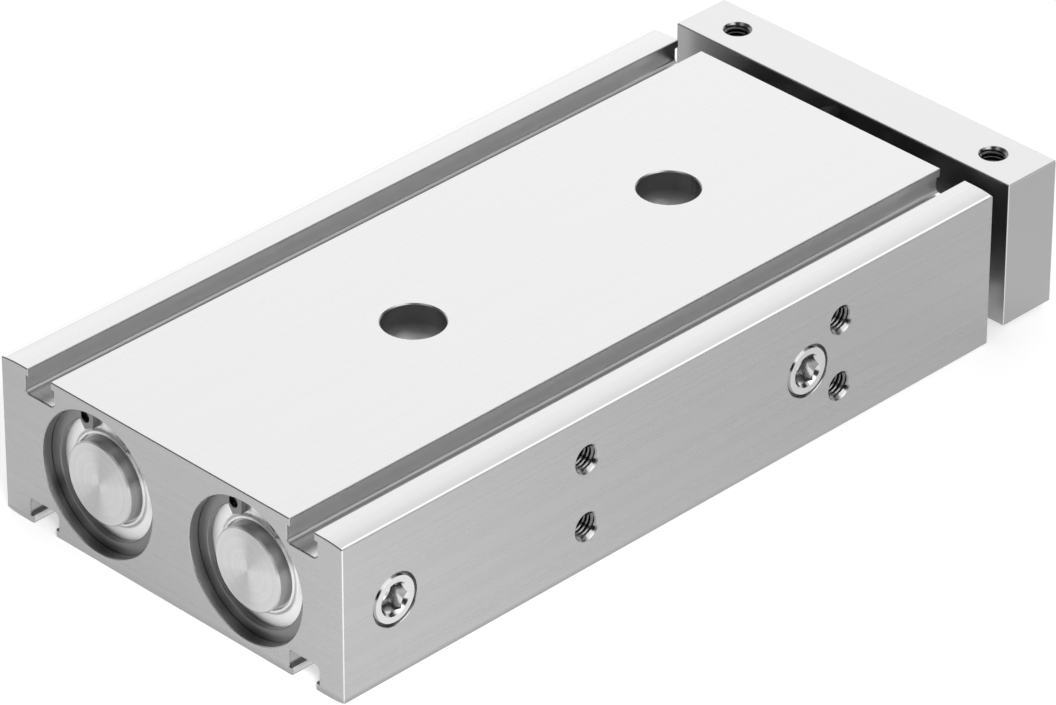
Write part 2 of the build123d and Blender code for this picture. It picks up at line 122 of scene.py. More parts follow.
# Plated, sintered and moulded finishes: colour, roughness, metallic, grains per metre, change of colour and
# height of the grains
GRAINED = {
    "screw_steel": ("screw_colour", 0.3, 1.0, 1200.0, 0.15, 0.003 * MM),
    "seal_rubber": ("rubber_colour", 0.55, 0.0, 2500.0, 0.4, 0.01 * MM),
    "bumper_elastomer": ("bumper_colour", 0.4, 0.0, 700.0, 0.1, 0.006 * MM),
    "bush_bronze": ("bronze_colour", 0.4, 1.0, 3500.0, 0.5, 0.02 * MM),
    "magnet_ferrite": ("magnet_colour", 0.5, 0.0, 2000.0, 0.5, 0.01 * MM),
}
# Painted shade: near black on the walls of the plier holes, standing in for the shade inside them.
PAINTED_PLIER_HOLE_SHADE = (0.02, 0.02, 0.02)  # colour of the shaded plier holes

# Studio
SKY = (0.15, 0.95)  # height at which the surroundings start to darken, and at which they are darkest
FLOOR_DROP = 0.05 * MM  # gap between the part and the floor
FLOOR_ROUGHNESS = 0.9
FLOOR_SIDES = 64
CONTACT = 2 * MM  # way below which a ray passes through the floor, so that no dark seam shows
CLIP = (0.01, 100)  # nearest and farthest that the camera sees

# Threads
CREST, FLANK, ROOT = 1 / 8, 3 / 8, 1 / 8  # shares of the pitch that make up a thread's profile
WELD = 1 / 1000  # share of the pitch within which points are merged
SHARP = math.radians(25)  # angle between faces from which an edge of a thread is sharp

# Dark flags round the part: direction, angle to which one is full, angle at which it ends, and the share of
# light that it takes
FLAGS = {
    "left": ((-0.535, 0.596, 0.598), 0, 34, 0.8),
    "rear": ((-0.95, 0.25, 0.2), 14, 34, 0.95),
    "near": ((-0.60, -0.78, 0.12), 18, 27, 0.97),
    "right": ((0.82, -0.38, 0.43), 8, 18, 0.95),
    "overhead": ((-0.377, -0.379, 0.844), 5, 20, 0.85),
}

# Softboxes: direction, angle to which one is full, angle at which it ends, and its strength
SOFTBOXES = {
    "right": ((0.0, -0.80, 0.60), 18, 28, 2.0),
    "left": ((-0.72, 0.0, 0.69), 6, 20, 0.5),
}


class ThreadSizes(bpy.types.PropertyGroup):
    """Sizes of the threads that are cut in the screw holes and the air ports."""

    fine_pitch: FloatProperty(
        name="M5 Pitch", description="Rise of an M5 thread per turn", default=0.8 * MM, unit="LENGTH"
    )
    fine_core: FloatProperty(
        name="M5 Core", description="Radius at the crests of an M5 thread", default=2.09 * MM,
        unit="LENGTH",
    )
    coarse_pitch: FloatProperty(
        name="M6 Pitch", description="Rise of an M6 thread per turn", default=1.0 * MM, unit="LENGTH"
    )
    coarse_core: FloatProperty(
        name="M6 Core", description="Radius at the crests of an M6 thread", default=2.48 * MM,
        unit="LENGTH",
    )
    port_pitch: FloatProperty(
        name="Port Pitch", description="Rise of a port's pipe thread per turn", default=0.907 * MM,
        unit="LENGTH",
    )
    port_core: FloatProperty(
        name="Port Core", description="Radius at the crests of a port's thread", default=4.33 * MM,
        unit="LENGTH",
    )
    countersink: FloatProperty(
        name="Countersink", description="Depth of a screw hole's countersink", default=0.25 * MM,
        unit="LENGTH",
    )
    yoke_countersink: FloatProperty(
        name="Yoke Countersink", description="Depth of the countersinks in the yoke", default=0.1 * MM,
        unit="LENGTH",
    )
    port_countersink: FloatProperty(
        name="Port Countersink", description="Depth of a port's countersink", default=0.1 * MM,
        unit="LENGTH",
    )
    side_depth: FloatProperty(
        name="Side Depth", description="Length of thread in a body side or a yoke edge",
        default=8.0 * MM, unit="LENGTH",
    )
    front_depth: FloatProperty(
        name="Front Depth", description="Length of thread in the yoke's front", default=8.5 * MM,
        unit="LENGTH",
    )
    port_depth: FloatProperty(
        name="Port Depth", description="Length of thread in an air port", default=7.95 * MM, unit="LENGTH"
    )
    wall_overlap: FloatProperty(
        name="Wall Overlap", description="How far a thread's root lies in the hole's wall",
        default=0.01 * MM, unit="LENGTH",
    )
    steps_per_turn: IntProperty(
        name="Steps per Turn", description="Facets round one turn", default=40, min=12
    )


class MetalLooks(bpy.types.PropertyGroup):
    """Colours of the parts."""

    body_colour: FloatVectorProperty(
        name="Body", description="Clear anodised aluminium", default=(0.393, 0.393, 0.393), **COLOUR
    )
    yoke_colour: FloatVectorProperty(
        name="Yoke", description="Satin anodised aluminium", default=(0.388, 0.388, 0.388), **COLOUR
    )
    # Partly bare metal and partly painted highlight: this lighter colour goes on the slanted broken edges
    # of the body and the yoke.
    bare_and_highlight_colour: FloatVectorProperty(
        name="Bare Edges", description="Bright metal on the broken edges", default=(0.66, 0.66, 0.66),
        **COLOUR,
    )
    # Painted light: this bright colour is a painted highlight on the steep half of the body's long rounded
    # edges, and painted light low in the mounting holes.
    painted_light_colour: FloatVectorProperty(
        name="Rounded Edges",
        description="Polished metal on the long rounded edges and low in the mounting holes",
        default=(0.86, 0.86, 0.86), **COLOUR,
    )
    bore_colour: FloatVectorProperty(
        name="Bores", description="Metal in the bores", default=(0.4, 0.4, 0.4), **COLOUR
    )
    # Painted light: the slot walls and other deep faces of the body get this lighter colour, lifting their
    # shade.
    slot_painted_light_colour: FloatVectorProperty(
        name="Slots", description="Metal in the slots", default=(0.6, 0.6, 0.6), **COLOUR
    )
    # Darker top end of the mounting holes' painted light, and lighter top end of the threads' painted
    # shade.
    mouth_colour: FloatVectorProperty(
        name="Countersinks",
        description="Cut aluminium in countersinks and at the top of the mounting holes",
        default=(0.27, 0.27, 0.27), **COLOUR,
    )
    # Painted shade: the turns deep in the holes are painted this dark colour.
    thread_shade_colour: FloatVectorProperty(
        name="Threads", description="Cut aluminium, dark with oil", default=(0.15, 0.15, 0.15), **COLOUR
    )
    turned_colour: FloatVectorProperty(
        name="Turned Parts", description="Bright turned aluminium", default=(0.88, 0.88, 0.88), **COLOUR
    )
    # Painted shade: the faces of the caps' bosses are painted darker than the rest of the cap.
    boss_shade_colour: FloatVectorProperty(
        name="Boss Faces", description="Faces of the caps' bosses, with their coarser turning rings",
        default=(0.6, 0.6, 0.6), **COLOUR,
    )
    plug_colour: FloatVectorProperty(
        name="Plugs", description="Nickel plate", default=(0.56, 0.56, 0.56), **COLOUR
    )
    # Painted shade: the rim of each plug is painted this dark colour.
    plug_rim_shade_colour: FloatVectorProperty(
        name="Plug Rims", description="Rim of a plug, dark with thread sealant",
        default=(0.3, 0.3, 0.3), **COLOUR,
    )
    rod_colour: FloatVectorProperty(
        name="Rods", description="Hard chrome", default=(0.66, 0.67, 0.68), **COLOUR
    )
    ring_colour: FloatVectorProperty(
        name="Rings", description="Phosphated spring steel", default=(0.2, 0.2, 0.2), **COLOUR
    )
    screw_colour: FloatVectorProperty(
        name="Screws", description="Zinc plated steel", default=(0.45, 0.46, 0.48), **COLOUR
    )
    rubber_colour: FloatVectorProperty(
        name="Seals", description="Black nitrile rubber", default=(0.018, 0.018, 0.018), **COLOUR
    )
    bumper_colour: FloatVectorProperty(
        name="Bumpers", description="Amber polyurethane", default=(0.5, 0.25, 0.07), **COLOUR
    )
    bronze_colour: FloatVectorProperty(
        name="Bushes", description="Sintered bronze", default=(0.45, 0.29, 0.15), **COLOUR
    )
    magnet_colour: FloatVectorProperty(
        name="Magnets", description="Plastic-bonded ferrite", default=(0.05, 0.05, 0.05), **COLOUR
    )


class StageLooks(bpy.types.PropertyGroup):
    """Studio, and the camera at the photograph's viewing angle."""

    floor_colour: FloatVectorProperty(
        name="Floor", description="Colour of the studio floor", default=(0.9, 0.9, 0.9), **COLOUR
    )
    floor_radius: FloatProperty(
        name="Floor Radius", description="Size of the floor", default=6.0, unit="LENGTH"
    )
    floor_glow: FloatProperty(
        name="Floor Glow", description="What the seen floor is lifted by to reach white", default=0.46
    )
    horizon: FloatProperty(
        name="Horizon", description="Brightness of the surroundings at eye level", default=0.95
    )
    zenith: FloatProperty(
        name="Zenith", description="Brightness of the surroundings overhead", default=0.5
    )
    window: FloatProperty(
        name="Window", description="Extra brightness of the broad light behind the part", default=1.55
    )
    window_spread: FloatProperty(
        name="Window Spread", description="From the window's centre to its dark end",
        default=math.radians(32), subtype="ANGLE",
    )
    window_core: FloatProperty(
        name="Window Core", description="From the window's centre to where it fades",
        default=math.radians(2), subtype="ANGLE",
    )
    window_on_floor: FloatProperty(
        name="Window on Floor", description="Share of the window's light that reaches matt surfaces",
        default=0.25,
    )
    fill_power: FloatProperty(
        name="Fill Light", description="Power of the softbox at the camera's side", default=0.075,
        unit="POWER",
    )
    fill_size: FloatProperty(
        name="Fill Size", description="Width of the softbox", default=0.12, unit="LENGTH"
    )
    fill_place: FloatVectorProperty(
        name="Fill Place", description="Place of the softbox", default=(-0.28, -0.34, 0.35), subtype="XYZ"
    )
    fill_target: FloatVectorProperty(
        name="Fill Target", description="Point that the softbox faces", default=(-0.1, -0.09, 0.0),
        subtype="XYZ",
    )
    fill_spread: FloatProperty(
        name="Fill Spread", description="Opening angle of the softbox's grid", default=math.radians(34),
        subtype="ANGLE",
    )
    azimuth: FloatProperty(
        name="Azimuth", description="Camera's heading, from +X towards +Y",
        default=math.radians(44.905), subtype="ANGLE",
    )
    dip: FloatProperty(
        name="Dip", description="How far the camera looks down", default=math.radians(32.347),
        subtype="ANGLE",
    )
    roll: FloatProperty(
        name="Roll", description="Turn of the camera", default=math.radians(0.134), subtype="ANGLE"
    )
    distance: FloatProperty(name="Distance", description="Way to the part", default=1.2092, unit="LENGTH")
    target: FloatVectorProperty(
        name="Target", description="Point that the heading is counted from",
        default=(-0.01585, 0, 0.015), subtype="XYZ",
    )
    pan: FloatVectorProperty(
        name="Pan", description="Camera's move to the right and up", default=(0.014878, 0.005477),
        size=2, unit="LENGTH",
    )
    focal_length: FloatProperty(name="Focal Length", description="In millimetres", default=249.755)


def wire(tree, value, socket):
    """Gives an input socket its value: another node's output, or a constant."""
    if isinstance(value, bpy.types.NodeSocket):
        tree.links.new(value, socket)
    elif value is not None:
        socket.default_value = value


def add(tree, kind, inputs=(), **settings):
    """New shader node with its settings and inputs, which are named or numbered."""
    node = tree.nodes.new(kind)
    for name, value in settings.items():
        setattr(node, name, value)
    for key, value in dict(inputs).items():
        wire(tree, value, node.inputs[key])
    return node


def maths(tree, operation, *values):
    """Result of a Math node."""
    return add(tree, "ShaderNodeMath", enumerate(values), operation=operation).outputs[0]


def vector_maths(tree, operation, *values):
    """Result of a Vector Math node that puts out a vector."""
    return add(tree, "ShaderNodeVectorMath", enumerate(values), operation=operation).outputs[0]


def between(tree, value, low, high, start=0.0, end=1.0, smooth=False):
    """Maps a value's stretch from low to high onto start to end, and holds it there outside."""
    kind = "SMOOTHSTEP" if smooth else "LINEAR"
    inputs = enumerate((value, low, high, start, end))
    return add(tree, "ShaderNodeMapRange", inputs, interpolation_type=kind).outputs[0]


def blend(tree, share, first, second):
    """Mix of two numbers by a share."""
    return add(tree, "ShaderNodeMix", {0: share, 2: first, 3: second}, data_type="FLOAT").outputs[0]


def tint(tree, share, first, second):
    """Mix of two colours by a share."""
    inputs = {0: share, 6: first, 7: second}
    return add(tree, "ShaderNodeMix", inputs, data_type="RGBA").outputs[2]


def bundle(tree, *parts):
    """Vector made of up to three numbers."""
    return add(tree, "ShaderNodeCombineXYZ", enumerate(parts)).outputs[0]


def axis_parts(tree, vector):
    """The three numbers of a vector."""
    return add(tree, "ShaderNodeSeparateXYZ", {0: vector}).outputs


def offset(tree, value, centre):
    """How far a number is from a centre, whatever the side."""
    return maths(tree, "ABSOLUTE", maths(tree, "SUBTRACT", value, centre))


def span(tree, sideways, rise):
    """Length of a vector that has two parts."""
    flat = bundle(tree, sideways, rise)
    return add(tree, "ShaderNodeVectorMath", {0: flat}, operation="LENGTH").outputs["Value"]


def within(tree, value, low, high):
    """Mask that is 1 where a value lies between two limits."""
    above = maths(tree, "GREATER_THAN", value, low)
    return maths(tree, "MULTIPLY", above, maths(tree, "LESS_THAN", value, high))


def room_in_box(tree, point, centre, half_size):
    """How deep a point lies in a box, along each axis."""
    shift = vector_maths(tree, "ABSOLUTE", vector_maths(tree, "SUBTRACT", point, centre))
    return axis_parts(tree, vector_maths(tree, "SUBTRACT", half_size, shift))


def noise(tree, vector, scale, detail=2.0, roughness=0.5):
    """Noise texture's value at a vector."""
    inputs = {"Vector": vector, "Scale": scale, "Detail": detail, "Roughness": roughness}
    return add(tree, "ShaderNodeTexNoise", inputs).outputs["Fac"]


def new_group(name, inputs, outputs):
    """Empty shader node group with sockets of the given names and kinds, and its two ends."""
    group = bpy.data.node_groups.new(name, "ShaderNodeTree")
    for in_out, sockets in (("INPUT", inputs), ("OUTPUT", outputs)):
        for socket, kind in sockets.items():
            group.interface.new_socket(name=socket, in_out=in_out, socket_type="NodeSocket" + kind)
    return group, group.nodes.new("NodeGroupInput"), group.nodes.new("NodeGroupOutput")


def use_group(tree, name, inputs):
    """A node group placed in a tree; gives its node."""
    node = tree.nodes.new("ShaderNodeGroup")
    node.node_tree = bpy.data.node_groups[name]
    for key, value in inputs.items():
        wire(tree, value, node.inputs[key])
    return node


def make_brushed_lines():
    """Group: fine lines along the vector's first axis, as a brush or a belt leaves them."""
    inputs = {"Vector": "Vector", "Length": "Float", "Width": "Float"}
    group, start, end = new_group("Brushed Lines", inputs, {"Lines": "Float"})
    along = maths(group, "DIVIDE", 1.0, start.outputs["Length"])
    across = maths(group, "DIVIDE", 1.0, start.outputs["Width"])
    place = vector_maths(group, "MULTIPLY", start.outputs["Vector"], bundle(group, along, across, across))
    fine = noise(group, place, 1.0, detail=1.0, roughness=0.6)
    scale, share = BROAD_LINES
    both = blend(group, share, fine, noise(group, place, scale, detail=1.0, roughness=0.6))
    wire(group, between(group, both, *CONTRAST), end.inputs["Lines"])


def make_outer_edges():
    """Group: finds the broken edges of a block, and the walls that lie deeper than its outer faces."""
    group, start, end = new_group(
        "Outer Edges",
        {
            "Vector": "Vector",
            "Normal": "Vector",
            "Centre": "Vector",
            "Half Size": "Vector",
            "Edge Reach": "Float",
            "Reach": "Float",
        },
        {"Edge": "Float", "Inside": "Float", "Slanted": "Float"},
    )
    point, centre, half_size = (start.outputs[socket] for socket in ("Vector", "Centre", "Half Size"))
    x, y, z = room_in_box(group, point, centre, half_size)
    least, greater = maths(group, "MINIMUM", x, y), maths(group, "MAXIMUM", x, y)
    depth = maths(group, "MINIMUM", least, z)
    corner_depth = maths(group, "MAXIMUM", least, maths(group, "MINIMUM", greater, z))
    x, y, z = axis_parts(group, vector_maths(group, "ABSOLUTE", start.outputs["Normal"]))
    squareness = maths(group, "MAXIMUM", maths(group, "MAXIMUM", x, y), z)
    slanted = between(group, squareness, *SLANT, 1.0, 0.0)
    wire(group, slanted, end.inputs["Slanted"])
    at_edge = maths(group, "LESS_THAN", corner_depth, start.outputs["Edge Reach"])
    wire(group, maths(group, "MULTIPLY", slanted, at_edge), end.inputs["Edge"])
    wire(group, maths(group, "GREATER_THAN", depth, start.outputs["Reach"]), end.inputs["Inside"])


def make_turned_rings():
    """Group: fine rings that a turning tool leaves, from the way along the tool's travel."""
    inputs = {"Travel": "Float", "Vector": "Vector", "Width": "Float"}
    group, start, end = new_group("Turned Rings", inputs, {"Rings": "Float"})
    step = maths(group, "DIVIDE", start.outputs["Travel"], start.outputs["Width"])
    wander = noise(group, start.outputs["Vector"], WANDER_GRAIN)
    place = bundle(group, step, wander)
    fine = noise(group, place, 1.0, detail=3.0, roughness=0.7)
    scale, share = BROAD_RINGS
    both = blend(group, share, fine, noise(group, place, scale, detail=1.0))
    wire(group, between(group, both, *CONTRAST), end.inputs["Rings"])


def make_surface_life():
    """Group: turns a pattern of marks into a colour, a roughness and a normal that vary with it."""
    group, start, end = new_group(
        "Surface Life",
        {
            "Colour": "Color",
            "Marks": "Float",
            "Vector": "Vector",
            "Colour Change": "Float",
            "Roughness": "Float",
            "Roughness Change": "Float",
            "Relief": "Float",
        },
        {"Colour": "Color", "Roughness": "Float", "Normal": "Vector"},
    )
    cloud = noise(group, start.outputs["Vector"], CLOUD_GRAIN, detail=3.0)
    mixed = blend(group, CLOUD_SHARE, start.outputs["Marks"], cloud)
    swing = maths(group, "SUBTRACT", mixed, 0.5)
    gain = maths(group, "MULTIPLY_ADD", swing, start.outputs["Colour Change"], 1.0)
    scaled = add(
        group, "ShaderNodeVectorMath", {0: start.outputs["Colour"], "Scale": gain}, operation="SCALE"
    )
    wire(group, scaled.outputs[0], end.inputs["Colour"])
    rough = maths(
        group, "MULTIPLY_ADD", swing, start.outputs["Roughness Change"], start.outputs["Roughness"]
    )
    wire(group, rough, end.inputs["Roughness"])
    lift = maths(group, "MULTIPLY", start.outputs["Marks"], start.outputs["Relief"])
    bump = add(group, "ShaderNodeBump", {"Height": lift, "Strength": 1.0, "Distance": 1.0})
    wire(group, bump.outputs[0], end.inputs["Normal"])


def new_material(name, metallic=1.0):
    """Material with a Principled shader alone, also where the frame has a plain one of that name.

    Gives its node tree, the shader and the coordinates.
    """
    material = bpy.data.materials.get(name) or bpy.data.materials.new(name)
    material.use_nodes = True
    tree = material.node_tree
    tree.nodes.clear()
    shader = add(tree, "ShaderNodeBsdfPrincipled", {"Metallic": metallic})
    add(tree, "ShaderNodeOutputMaterial", {"Surface": shader.outputs[0]})
    return tree, shader, tree.nodes.new("ShaderNodeTexCoord")


def opaque(colour):
    """A colour as a socket's four numbers."""
    return (*colour, 1.0)


def fine_grain(tree, place, scale):
    """Even grain of a size that is given in grains per metre."""
    return noise(tree, place.outputs["Object"], scale, detail=4.0, roughness=0.6)


def apply_marks(tree, shader, place, marks, colour, roughness, roughness_change, colour_change, relief):
    """Feeds a pattern of marks through the Surface Life group into the shader."""
    inputs = {
        "Colour": colour,
        "Marks": marks,
        "Vector": place.outputs["Object"],
        "Colour Change": colour_change,
        "Roughness": roughness,
        "Roughness Change": roughness_change,
        "Relief": relief,
    }
    living = use_group(tree, "Surface Life", inputs)
    wire(tree, living.outputs["Colour"], shader.inputs["Base Color"])
    wire(tree, living.outputs["Roughness"], shader.inputs["Roughness"])
    wire(tree, living.outputs["Normal"], shader.inputs["Normal"])


def bore_layout():
    """Distance between the two bore axes, and their height."""
    low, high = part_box("piston_rod_left")
    return low.y + high.y, (low.z + high.z) / 2


def bore_radius_at(tree, place):
    """Distance of the shaded point from the nearer bore axis."""
    pitch, height = bore_layout()
    _, y, z = axis_parts(tree, place.outputs["Object"])
    sideways = maths(tree, "SUBTRACT", maths(tree, "ABSOLUTE", y), pitch / 2)
    return span(tree, sideways, maths(tree, "SUBTRACT", z, height))


def half_box(node):
    """Centre and half size of a CAD node's box."""
    low, high = (Vector(corner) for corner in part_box(node))
    return (low + high) / 2, (high - low) / 2


def block_edges(tree, place, node):
    """Outer Edges group set to a node's box; gives its masks of edges, of what is inside, and of slant."""
    centre, half_size = half_box(node)
    inputs = {
        "Vector": place.outputs["Object"],
        "Normal": place.outputs["Normal"],
        "Centre": centre,
        "Half Size": half_size,
        "Edge Reach": EDGE_REACH,
        "Reach": SKIN,
    }
    return use_group(tree, "Outer Edges", inputs).outputs


def long_edge_highlight_mask(tree, y, z, normal_z, slanted):
    """Mask of the steep half of the rounded edges along the body, at its corners and the slots' mouths,
    where a painted highlight goes.
    """
    centre, half_size = half_box("body")
    out = maths(tree, "ABSOLUTE", y)
    at_face = maths(tree, "GREATER_THAN", offset(tree, z, centre.z), half_size.z - LONG_EDGE_REACH)
    slot = abs(mounts["sensor_slot_top_left"]["pos_m"][1])
    at_mouth = within(tree, offset(tree, out, slot), *MOUTH_EDGE)
    at_corner = maths(tree, "GREATER_THAN", out, half_size.y - LONG_EDGE_REACH)
    steep = within(tree, maths(tree, "ABSOLUTE", normal_z), *STEEP)
    place = maths(tree, "MULTIPLY", at_face, maths(tree, "MAXIMUM", at_mouth, at_corner))
    return maths(tree, "MULTIPLY", maths(tree, "MULTIPLY", place, steep), slanted)


def brushed_lines(tree, vector, lines):
    """Brushed Lines group set to a kind of lines; gives its marks."""
    return use_group(tree, "Brushed Lines", {"Vector": vector, **lines}).outputs[0]


def turned_rings(tree, travel, vector):
    """Turned Rings group set to a tool's travel; gives its marks."""
    inputs = {"Travel": travel, "Vector": vector, "Width": RING_WIDTH}
    return use_group(tree, "Turned Rings", inputs).outputs[0]


def brushed_body_material(looks):
    """Extruded body: long lines on its outside, cross lines on its ends, bright edges that are partly bare
    metal and partly painted highlight, slot walls lightened by painted light, and mounting holes painted
    brighter with depth.
    """
    tree, shader, place = new_material("body_anodised")
    where = place.outputs["Object"]
    x, y, z = axis_parts(tree, where)
    normal_x, _, normal_z = axis_parts(tree, place.outputs["Normal"])
    edge, inside, slanted = block_edges(tree, place, "body")
    long_lines = brushed_lines(tree, where, LONG_LINES)
    cross_lines = brushed_lines(tree, bundle(tree, y, z, x), CROSS_LINES)
    rings = turned_rings(tree, x, where)
    facing_end = between(tree, maths(tree, "ABSOLUTE", normal_x), *BODY_END)
    in_bore = maths(tree, "LESS_THAN", bore_radius_at(tree, place), BORE_REACH)
    in_bore = maths(tree, "MULTIPLY", in_bore, inside)
    in_hole = maths(tree, "LESS_THAN", maths(tree, "ABSOLUTE", y), HOLE_REACH)
    in_hole = maths(tree, "MULTIPLY", in_hole, inside)
    marks = blend(tree, in_bore, long_lines, rings)
    marks = blend(tree, facing_end, marks, cross_lines)
    painted_edge_highlight = long_edge_highlight_mask(tree, y, z, normal_z, slanted)
    centre, half_size = half_box("body")
    # Painted light: each mounting hole goes from the darker mouth colour at the top to a bright colour low
    # down.
    top, bottom = (half_size.z - depth for depth in HOLE_SHADE)
    deep = between(tree, offset(tree, z, centre.z), top, bottom)
    holes = tint(tree, deep, opaque(looks.mouth_colour), opaque(looks.painted_light_colour))
    # Painted light: deep faces such as the slot walls are painted lighter than the outside.
    colour = tint(tree, inside, opaque(looks.body_colour), opaque(looks.slot_painted_light_colour))
    colour = tint(tree, in_hole, colour, holes)
    colour = tint(tree, in_bore, colour, opaque(looks.bore_colour))
    # Painted highlight, partly bare metal: the broken edges get a lighter colour.
    colour = tint(tree, edge, colour, opaque(looks.bare_and_highlight_colour))
    # Painted highlight: the steep half of the long rounded edges gets a bright colour.
    colour = tint(tree, painted_edge_highlight, colour, opaque(looks.painted_light_colour))
    bare = maths(tree, "MAXIMUM", edge, painted_edge_highlight)
    roughness = blend(tree, in_hole, BODY_ROUGHNESS["outside"], BODY_ROUGHNESS["hole"])
    apply_marks(
        tree, shader, place, marks, colour,
        roughness=blend(tree, bare, roughness, BODY_ROUGHNESS["bare"]),
        roughness_change=blend(tree, inside, *BODY_LIFE["roughness_change"]),
        colour_change=blend(tree, inside, *BODY_LIFE["colour_change"]),
        relief=blend(tree, maths(tree, "MAXIMUM", bare, inside), *BODY_LIFE["relief"]),
    )


def satin_yoke_material(looks):
    """Yoke plate: a fine even satin with hardly visible milling lines, and bright edges that are partly
    bare metal and partly painted highlight.
    """
    tree, shader, place = new_material("yoke_anodised")
    x, y, z = axis_parts(tree, place.outputs["Object"])
    edge = block_edges(tree, place, "yoke_plate")["Edge"]
    lines = brushed_lines(tree, bundle(tree, y, z, x), MILLED_LINES)
    # Painted highlight, partly bare metal: the broken edges get a lighter colour.
    colour = tint(tree, edge, opaque(looks.yoke_colour), opaque(looks.bare_and_highlight_colour))
    apply_marks(
        tree, shader, place, lines, colour,
        roughness=blend(tree, edge, YOKE_ROUGHNESS["outside"], YOKE_ROUGHNESS["bare"]),
        roughness_change=0.04, colour_change=0.03, relief=0.001 * MM,
    )


def turned_material(name, looks):
    """Turned part: rings by radius on its faces and by the way along the bore on its walls.

    The caps' bosses are painted darker than the rest of the cap, a painted shade.
    """
    tree, shader, place = new_material(name)
    key, face_roughness, wall_roughness, depth, anisotropy = TURNED[name]
    colour = opaque(getattr(looks, key))
    where = place.outputs["Object"]
    radius = bore_radius_at(tree, place)
    lengthwise = maths(tree, "ABSOLUTE", axis_parts(tree, place.outputs["Normal"])[0])
    facing_end = between(tree, lengthwise, *TURNED_END)
    travel = blend(tree, facing_end, axis_parts(tree, where)[0], radius)
    rings = turned_rings(tree, travel, where)
    if name == "cap_turned":
        # Painted shade: the boss faces get a darker colour than the rest of the cap.
        colour = tint(tree, maths(tree, "LESS_THAN", radius, BOSS_REACH), colour, opaque(looks.boss_shade_colour))
    apply_marks(
        tree, shader, place, rings, colour,
        roughness=blend(tree, facing_end, wall_roughness, face_roughness),
        roughness_change=0.08 * depth,
        colour_change=0.2 * depth,
        relief=blend(tree, facing_end, *(relief * depth for relief in RING_RELIEF)),
    )
    if anisotropy:
        tangent = add(tree, "ShaderNodeTangent", direction_type="RADIAL", axis="X")
        wire(tree, tangent.outputs[0], shader.inputs["Tangent"])
        shader.inputs["Anisotropic"].default_value = anisotropy
        shader.inputs["Anisotropic Rotation"].default_value = STREAK_TURN


def ring_material(looks):
    """Retaining rings: grey spring steel with an even grain, with a painted shade in the plier holes."""
    tree, shader, place = new_material("ring_steel")
    pitch, height = bore_layout()
    _, y, z = axis_parts(tree, place.outputs["Object"])
    sideways = offset(tree, maths(tree, "ABSOLUTE", y), pitch / 2)
    way = span(
        tree,
        maths(tree, "SUBTRACT", sideways, LUG_PLACE[0]),
        maths(tree, "SUBTRACT", z, height + LUG_PLACE[1]),
    )
    lengthwise = maths(tree, "ABSOLUTE", axis_parts(tree, place.outputs["Normal"])[0])
    in_hole = maths(tree, "LESS_THAN", way, LUG_REACH)
    # Painted shade: the walls of the plier holes are painted near black.
    dark = maths(tree, "MULTIPLY", in_hole, maths(tree, "LESS_THAN", lengthwise, LUG_WALL))
    apply_marks(
        tree, shader, place, fine_grain(tree, place, RING_GRAIN),
        tint(tree, dark, opaque(looks.ring_colour), opaque(PAINTED_PLIER_HOLE_SHADE)),
        roughness=0.34, roughness_change=0.15, colour_change=0.15, relief=0.002 * MM,
    )


def grained_material(name, looks):
    """Even fine grain, as on plated, sintered or moulded parts."""
    key, roughness, metallic, scale, colour_change, relief = GRAINED[name]
    tree, shader, place = new_material(name, metallic)
    apply_marks(
        tree, shader, place, fine_grain(tree, place, scale), opaque(getattr(looks, key)),
        roughness=roughness, roughness_change=0.2, colour_change=colour_change, relief=relief,
    )


def thread_material(name, node, looks):
    """Cut threads: a lighter countersink, and turns below it that are painted dark with depth, a painted
    shade.
    """
    tree, shader, place = new_material(name)
    x, y, z = room_in_box(tree, place.outputs["Object"], *half_box(node))
    depth = maths(tree, "MINIMUM", maths(tree, "MINIMUM", x, y), z)
    # Painted shade: the turns darken with depth in the hole.
    shade = between(tree, depth, *THREAD_SHADE)
    apply_marks(
        tree, shader, place, fine_grain(tree, place, CUT_GRAIN),
        tint(tree, shade, opaque(looks.mouth_colour), opaque(looks.thread_shade_colour)),
        roughness=0.14, roughness_change=0.1, colour_change=0.05, relief=0.0005 * MM,
    )


def plug_material(looks):
    """Port plugs: bright plate, with a painted shade round the rim."""
    tree, shader, place = new_material("plug_metal")
    x, _, z = axis_parts(tree, place.outputs["Object"])
    rear, front = mounts["air_port_rear"]["pos_m"], mounts["air_port_front"]["pos_m"]
    middle, half = (rear[0] + front[0]) / 2, abs(front[0] - rear[0]) / 2
    sideways = maths(tree, "SUBTRACT", offset(tree, x, middle), half)
    radius = span(tree, sideways, maths(tree, "SUBTRACT", z, rear[2]))
    # Painted shade: the plug's rim gets a dark colour.
    at_rim = maths(tree, "GREATER_THAN", radius, PLUG_REACH)
    apply_marks(
        tree, shader, place, fine_grain(tree, place, CUT_GRAIN),
        tint(tree, at_rim, opaque(looks.plug_colour), opaque(looks.plug_rim_shade_colour)),
        roughness=0.16, roughness_change=0.1, colour_change=0.05, relief=0.001 * MM,
    )


def make_materials(looks):
    """Every material of the part: those that the record's slots name, and the threads'."""
    brushed_body_material(looks)
    satin_yoke_material(looks)
    thread_material("body_threads", "body", looks)
    thread_material("yoke_threads", "yoke_plate", looks)
    plug_material(looks)
    ring_material(looks)
    for name in TURNED:
        turned_material(name, looks)
    for name in GRAINED:
        grained_material(name, looks)


def dress(slot):
    """Gives the slot's material to every CAD node that takes its finish from it."""
    for part in frame["record"]["subparts"]:
        if part["material_slot"] == slot:
            node = frame["nodes"][part["node"]]
            node.data.materials.clear()
            node.data.materials.append(bpy.data.materials[slot])


